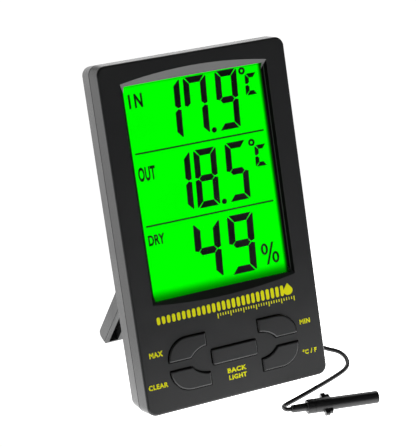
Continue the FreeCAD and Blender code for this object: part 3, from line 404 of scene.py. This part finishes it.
def plain_floor():
    """A pale floor that glows with a painted pool of light, brightest just in front of the object."""
    material, shader = new_material("floor", (0.9, 0.9, 0.9), 0.8)
    shader.inputs["Emission Color"].default_value = (1, 1, 1, 1)
    # Painted light: the pool is painted into the floor's emission, brightest in front of the object.
    place = add_node(material, "Mapping", {"Vector": object_place(material), "Scale": POOL_SHAPE})
    away = add_node(material, "VectorMath", {
        0: place.outputs["Vector"], 1: POOL_MIDDLE,
    }, operation="DISTANCE").outputs["Value"]
    painted_pool = add_node(material, "ValToRGB", {"Fac": spread(material, away, 0.0, 1.0, 0.0, 1.0)})
    ramp = painted_pool.color_ramp
    ramp.interpolation = "EASE"
    while len(ramp.elements) < len(POOL_LIGHT):
        ramp.elements.new(0.5)
    for element, (distance, level) in zip(ramp.elements, POOL_LIGHT):
        element.position = distance
        element.color = (level, level, level, 1)
    light = add_node(material, "Math", {0: painted_pool.outputs["Color"], 1: POOL_PEAK},
                     operation="MULTIPLY").outputs[0]
    link(material, light, shader, "Emission Strength")
    tone = blend_colours(material, noise(material, 60), (0.88, 0.88, 0.88), (0.92, 0.92, 0.92))
    link(material, tone, shader, "Base Color")
    return material


def make_materials():
    return {
        "front_shell": moulded_plastic("front_shell", (0.029, 0.0295, 0.0305), 0.24),
        "rear_shell": moulded_plastic("rear_shell", (0.029, 0.0295, 0.0305), 0.28),
        "steel": metal("steel", (0.55, 0.55, 0.56), 0.32, (1, 1, 6)),
        "clear_window": clear_window(),
        "polariser": lit_display(),
        "lcd_glass": glass("lcd_glass", (0.85, 0.92, 0.88)),
        "acrylic": moulded_plastic("acrylic", (0.10, 0.55, 0.14), 0.15),
        "white_plastic": moulded_plastic("white_plastic", (0.72, 0.72, 0.69), 0.4),
        "circuit_board": circuit_board(),
        "film": printed_film(),
        "black_epoxy": moulded_plastic("black_epoxy", (0.012, 0.012, 0.012), 0.3, 1.2, 0.03),
        "bright_metal": metal("bright_metal", (0.70, 0.69, 0.65), 0.25, (6, 1, 1)),
        "switch_plastic": moulded_plastic("switch_plastic", (0.02, 0.02, 0.02), 0.45),
        "cell_jacket": cell_jacket(),
        "cord_rubber": rubber("cord_rubber"),
        "probe_plastic": probe_plastic(),
    }


def dress_nodes(materials):
    """Every CAD node takes the material of its slot in the record."""
    for entry in frame["record"]["subparts"]:
        node = frame["nodes"][entry["node"]]
        for holder in node.material_slots:
            holder.material = materials[entry["material_slot"]]


# ---------------------------------------------------------------- flat pieces on the case
def place_piece(name, mesh, material):
    """Puts a mesh drawn in the case's frame in its place, riding on the case."""
    mesh.transform(IN_PLACE)
    mesh.materials.append(material)
    piece = bpy.data.objects.new(name, mesh)
    bpy.context.scene.collection.objects.link(piece)
    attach(piece, "case")
    return piece


def flat_piece(name, outlines, front, back, material):
    """Thin plates in one piece, each from an outline of (x, z) points."""
    shape = bmesh.new()
    for outline in outlines:
        near = [shape.verts.new((x, front, z)) for x, z in outline]
        far = [shape.verts.new((x, back, z)) for x, z in outline]
        shape.faces.new(near)
        shape.faces.new(list(reversed(far)))
        for index, vertex in enumerate(near):
            after = (index + 1) % len(near)
            shape.faces.new((vertex, far[index], far[after], near[after]))
    bmesh.ops.recalc_face_normals(shape, faces=shape.faces)
    mesh = bpy.data.meshes.new(name)
    shape.to_mesh(mesh)
    shape.free()
    return place_piece(name, mesh, material)


def rectangle(x0, x1, z0, z1):
    """An upright rectangle's outline."""
    return [(x0, z0), (x1, z0), (x1, z1), (x0, z1)]


def round_bar(x0, x1, z0, z1, steps=6):
    """An upright bar with half-round ends."""
    radius = (x1 - x0) / 2
    middle = (x0 + x1) / 2
    outline = []
    for centre_z, begin in ((z1 - radius, 0.0), (z0 + radius, math.pi)):
        for step in range(steps + 1):
            angle = begin + math.pi * step / steps
            outline.append((middle + radius * math.cos(angle), centre_z + radius * math.sin(angle)))
    return outline


def disc(x, z, radius, steps=28):
    """A round dot's outline."""
    return [(x + radius * math.cos(math.tau * step / steps),
             z + radius * math.sin(math.tau * step / steps)) for step in range(steps)]


def ring_parts(x, z, outer_x, outer_z, thickness, steps=28):
    """An oval ring, as a run of small quadrilaterals."""
    def at(step, inset):
        angle = math.tau * step / steps
        return (x + (outer_x - inset) * math.cos(angle), z + (outer_z - inset) * math.sin(angle))
    return [[at(step, 0), at(step + 1, 0), at(step + 1, thickness), at(step, thickness)]
            for step in range(steps)]


# ---------------------------------------------------------------- display contents
INK_FRONT = 3.56
INK_BACK = 3.66
SLANT = math.tan(math.radians(3.3))
INK_SHIFT = 0.3
SEGMENT_GAP = 0.30
ROW_BASE = 112.6
ROW_PITCH = 30.5
DIGIT_HEIGHT = 24.6
DIGIT_STROKE = 2.7
HUMIDITY_STROKE = 3.1
UNIT_STROKE = 1.8
ROW_LINE_HALF = 0.34
DIGITS = {
    "1": "bc", "4": "bcfg", "5": "acdfg", "7": "abcf", "8": "abcdefg", "9": "abcdfg", "C": "adef",
}


def segment_outlines(width, height, stroke):
    """The seven segments of a digit, upright, from its lower left corner."""
    gap = SEGMENT_GAP / 2
    half = height / 2
    nose = stroke * 0.45
    nip = stroke * 0.22

    def upright(flip_x, flip_z):
        """One vertical stroke, drawn for the upper left and flipped to the others."""
        outline = [
            (0, half + gap + nose * 0.4),
            (0, height - nip - gap),
            (nip * 0.5, height - nip * 0.3 - gap),
            (stroke, height - stroke - gap),
            (stroke, half + nose + gap),
            (stroke * 0.5, half + gap),
        ]
        return [(width - x if flip_x else x, height - z if flip_z else z) for x, z in outline]

    top = [
        (nip + gap, height), (width - nip - gap, height),
        (width - stroke - gap, height - stroke), (stroke + gap, height - stroke),
    ]
    return {
        "a": top,
        "d": [(x, height - z) for x, z in top],
        "f": upright(False, False),
        "b": upright(True, False),
        "e": upright(False, True),
        "c": upright(True, True),
        "g": [
            (stroke * 0.6 + gap, half), (stroke + gap, half + stroke / 2),
            (width - stroke - gap, half + stroke / 2), (width - stroke * 0.6 - gap, half),
            (width - stroke - gap, half - stroke / 2), (stroke + gap, half - stroke / 2),
        ],
    }


def digit(character, x, z, width, height, stroke):
    """The lit segments of one digit, leaning to the right; x is at its lower left."""
    shapes = segment_outlines(width, height, stroke)
    return [[(x + INK_SHIFT + px + pz * SLANT, z + pz) for px, pz in shapes[name]]
            for name in DIGITS[character]]


def reading_row(drop, middle_digit, last_digit):
    """A temperature row: a leading one, two digits, a point and a degree sign with its C."""
    base = ROW_BASE - drop
    shapes = digit("1", -19.6, base, 12.0, DIGIT_HEIGHT, DIGIT_STROKE)
    shapes += digit(middle_digit, -5.9, base, 10.3, DIGIT_HEIGHT, DIGIT_STROKE)
    shapes += digit(last_digit, 8.6, base, 10.0, DIGIT_HEIGHT + 0.3, DIGIT_STROKE)
    shapes.append(disc(6.7, base + 0.9, 1.15))
    shapes += ring_parts(22.7, base + 23.2, 1.5, 1.55, 0.95)
    shapes += digit("C", 23.0, base + 12.6, 5.6, 9.1, UNIT_STROKE)
    return shapes


def percent_mark():
    """Two oval rings, and the slash between them."""
    marks = ring_parts(21.9, 59.2, 1.65, 2.5, 1.0)
    marks += ring_parts(26.7, 54.9, 1.65, 2.5, 1.0)
    marks.append([(22.2, 52.3), (23.2, 52.3), (26.4, 61.7), (25.4, 61.7)])
    return marks


def make_readings(ink):
    rows = {
        "reading_in": reading_row(0.0, "7", "9"),
        "reading_out": reading_row(ROW_PITCH, "8", "5"),
        "reading_humidity": (digit("4", -10.7, 51.6, 12.0, DIGIT_HEIGHT, HUMIDITY_STROKE)
                             + digit("9", 5.0, 51.2, 12.0, DIGIT_HEIGHT + 0.6, HUMIDITY_STROKE)),
        "row_lines": [rectangle(-29.7, 29.1, z - ROW_LINE_HALF, z + ROW_LINE_HALF)
                      for z in (109.6, 109.6 - ROW_PITCH)],
        "percent_mark": percent_mark(),
    }
    for name, outlines in rows.items():
        flat_piece(name, outlines, INK_FRONT, INK_BACK, ink)


def lettering(name, text, box, depths, boldness, spacing, material):
    """Plain sans lettering fitted to a box on the case; its bevel makes it bolder."""
    x0, x1, z0, z1 = box
    front, back = depths
    data = bpy.data.curves.new(name, "FONT")
    data.body = text
    data.bevel_depth = boldness
    data.bevel_resolution = 1
    data.extrude = 0.5
    data.resolution_u = 4
    data.space_character = spacing
    maker = bpy.data.objects.new(name + "_maker", data)
    bpy.context.scene.collection.objects.link(maker)
    bpy.context.view_layer.update()
    mesh = bpy.data.meshes.new_from_object(maker.evaluated_get(bpy.context.evaluated_depsgraph_get()))
    bpy.data.objects.remove(maker)
    low = [min(vertex.co[axis] for vertex in mesh.vertices) for axis in range(3)]
    high = [max(vertex.co[axis] for vertex in mesh.vertices) for axis in range(3)]
    for vertex in mesh.vertices:
        along, up, deep = ((vertex.co[axis] - low[axis]) / (high[axis] - low[axis])
                           for axis in range(3))
        vertex.co = (x0 + (x1 - x0) * along, back + (front - back) * deep, z0 + (z1 - z0) * up)
    mesh.name = name
    return place_piece(name, mesh, material)


def make_row_names(ink):
    boldness = 0.034
    rows = [
        ("name_in", "IN", (-29.2, -23.1, 128.3, 134.2), 1.5),
        ("name_out", "OUT", (-29.7, -22.1, 97.9, 103.9), 1.06),
        ("name_dry", "DRY", (-29.6, -22.3, 70.9, 75.3), 1.06),
    ]
    for name, text, box, spacing in rows:
        lettering(name, text, box, (INK_FRONT, INK_BACK), boldness, spacing, ink)


# ---------------------------------------------------------------- painted shade on the sight's side walls
WINDOW_HALF_WIDTH = 33.15
BEVEL_DEPTH = 2.9
WALL_SHADE_BANDS = [(0.06, 0.50), (0.64, 0.97)]      # shares of the wall's depth
WALL_FLARE = 1.2
BAND_MARGIN = 0.05
BAND_THICKNESS = 0.04


def painted_shade_black():
    """Painted shade: a near-black that mirrors almost nothing, for the shaded side walls of the
    sight.
    """
    material, shader = new_material("painted_shade_black", (0.002, 0.002, 0.002), 0.9)
    shader.inputs["Specular IOR Level"].default_value = 0.05
    tone = blend_colours(material, noise(material, 0.3), (0.0015, 0.0015, 0.0015),
                         (0.003, 0.003, 0.003))
    link(material, tone, shader, "Base Color")
    return material


def make_wall_shade_bands():
    """Painted shade on the sight's side walls: two near-black bands with a plain line between them.
    """
    # Painted shade: near-black sheets laid where the side walls are in shade.
    black = painted_shade_black()
    slope = Vector((WINDOW_HALF_WIDTH - SIGHT_HALF_WIDTH, BEVEL_DEPTH))
    lift = Vector((slope.y, slope.x)).normalized() * BAND_THICKNESS
    for side, name in ((-1, "left"), (1, "right")):
        shape = bmesh.new()
        for shares in WALL_SHADE_BANDS:
            low = []
            high = []
            for share, raised in ((shares[0], 0), (shares[1], 0), (shares[1], 1), (shares[0], 1)):
                x = WINDOW_HALF_WIDTH - slope.x * share - lift.x * raised
                y = BEVEL_DEPTH * share - lift.y * raised
                flare = WALL_FLARE * (1 - share) - BAND_MARGIN
                low.append(shape.verts.new((side * x, y, SIGHT_BOTTOM - flare)))
                high.append(shape.verts.new((side * x, y, SIGHT_TOP + flare)))
            shape.faces.new(low)
            shape.faces.new(list(reversed(high)))
            for index in range(4):
                after = (index + 1) % 4
                shape.faces.new((low[index], high[index], high[after], low[after]))
        bmesh.ops.recalc_face_normals(shape, faces=shape.faces)
        mesh = bpy.data.meshes.new("sight_shade_bands_" + name)
        shape.to_mesh(mesh)
        shape.free()
        place_piece("sight_shade_bands_" + name, mesh, black)


# ---------------------------------------------------------------- prints on the face
PRINT_FRONT = -0.03
PRINT_BACK = 0.03


def make_key_names(paint):
    boldness = 0.045
    spacing = 1.12
    labels = [
        ("label_max", "MAX", (-38.1, -32.0, 25.0, 27.3)),
        ("label_clear", "CLEAR", (-40.5, -31.6, 11.6, 13.8)),
        ("label_back", "BACK", (-4.3, 4.6, 10.9, 13.0)),
        ("label_light", "LIGHT", (-4.0, 4.4, 7.8, 9.9)),
        ("label_min", "MIN", (32.0, 37.0, 24.2, 26.3)),
        ("label_unit", "°C / F", (31.6, 38.3, 10.8, 13.0)),
    ]
    for name, text, box in labels:
        lettering(name, text, box, (PRINT_FRONT, PRINT_BACK), boldness, spacing, paint)


def drop_outline(x, z, half_width, half_height, tip_z):
    """A water drop: most of an oval, closed by a point above it."""
    begin, sweep, steps = 0.86, 1.28, 20
    angles = [math.pi * (begin + sweep * step / steps) for step in range(steps + 1)]
    oval = [(x + half_width * math.cos(angle), z + half_height * math.sin(angle))
            for angle in angles]
    return oval + [(x, tip_z)]


def make_scale_print(paint):
    """A plain printed scale under the display: bold bars, with fine ticks below them."""
    bars = []
    count = 26
    first, pitch, width = -32.5, 2.3, 1.5
    foot, shortest, growth = 38.2, 3.3, 1.4
    for index in range(count):
        x = first + pitch * index
        rise = shortest + growth * index / (count - 1)
        bars.append(round_bar(x, x + width, foot, foot + rise))
    bars.append(drop_outline(28.6, 40.1, 2.2, 1.9, 43.4))
    flat_piece("scale_bars", bars, PRINT_FRONT, PRINT_BACK, paint)
    ticks = []
    top, tick_pitch, tick_width = 37.3, 1.2, 0.42
    for index in range(31):
        x = -5.2 + tick_pitch * index
        tall = 2.1 if index % 5 == 0 else 1.2
        ticks.append(rectangle(x, x + tick_width, top - tall, top))
    flat_piece("scale_ticks", ticks, PRINT_FRONT, PRINT_BACK, paint)


# ---------------------------------------------------------------- floor and light
def make_floor():
    shape = bmesh.new()
    bmesh.ops.create_grid(shape, x_segments=8, y_segments=8, size=6.0)
    mesh = bpy.data.meshes.new("floor")
    shape.to_mesh(mesh)
    shape.free()
    mesh.materials.append(plain_floor())
    floor = bpy.data.objects.new("floor", mesh)
    floor.location.z = -0.0002
    bpy.context.scene.collection.objects.link(floor)


def area_light(name, place, aim, size, power):
    data = bpy.data.lights.new(name, "AREA")
    data.shape = "RECTANGLE"
    data.size, data.size_y = size
    data.energy = power
    light = bpy.data.objects.new(name, data)
    light.location = place
    light.rotation_euler = (Vector(aim) - Vector(place)).to_track_quat("-Z", "Y").to_euler()
    bpy.context.scene.collection.objects.link(light)


def make_world():
    """A pale room, bright behind and to the right, dim in front and to the left."""
    world = bpy.data.worlds.new("studio")
    bpy.context.scene.world = world
    world.use_nodes = True
    background = world.node_tree.nodes["Background"]
    direction = add_node(world, "TexCoord", {}).outputs["Generated"]
    towards_back = add_node(world, "VectorMath", {0: direction, 1: BRIGHT_SIDE},
                            operation="DOT_PRODUCT").outputs["Value"]
    light = add_node(world, "MapRange", {
        "Value": towards_back, "From Min": -0.65, "From Max": 0.75,
        "To Min": DIMMEST, "To Max": BRIGHTEST,
    }).outputs["Result"]
    seen = add_node(world, "LightPath", {}).outputs["Is Camera Ray"]
    strength = add_node(world, "Mix", {0: seen, 2: light, 3: 1.0}).outputs[0]
    world.node_tree.links.new(strength, background.inputs["Strength"])


def make_light():
    make_world()
    area_light("soft_low_right", (0.20, -0.40, 0.04), (0.02, -0.04, 0.01), (0.30, 0.12), 0.10)
    area_light("soft_back", (0.35, 0.9, 0.6), (0.1, 0.2, 0), (0.8, 0.6), 4.0)


bpy.context.scene.view_settings.view_transform = "Standard"
make_camera()
MATERIALS = make_materials()
make_cord(MATERIALS["cord_rubber"])
dress_nodes(MATERIALS)
INK = display_ink()
make_readings(INK)
make_row_names(INK)
make_wall_shade_bands()
PAINT = yellow_print()
make_key_names(PAINT)
make_scale_print(PAINT)
make_floor()
make_light()
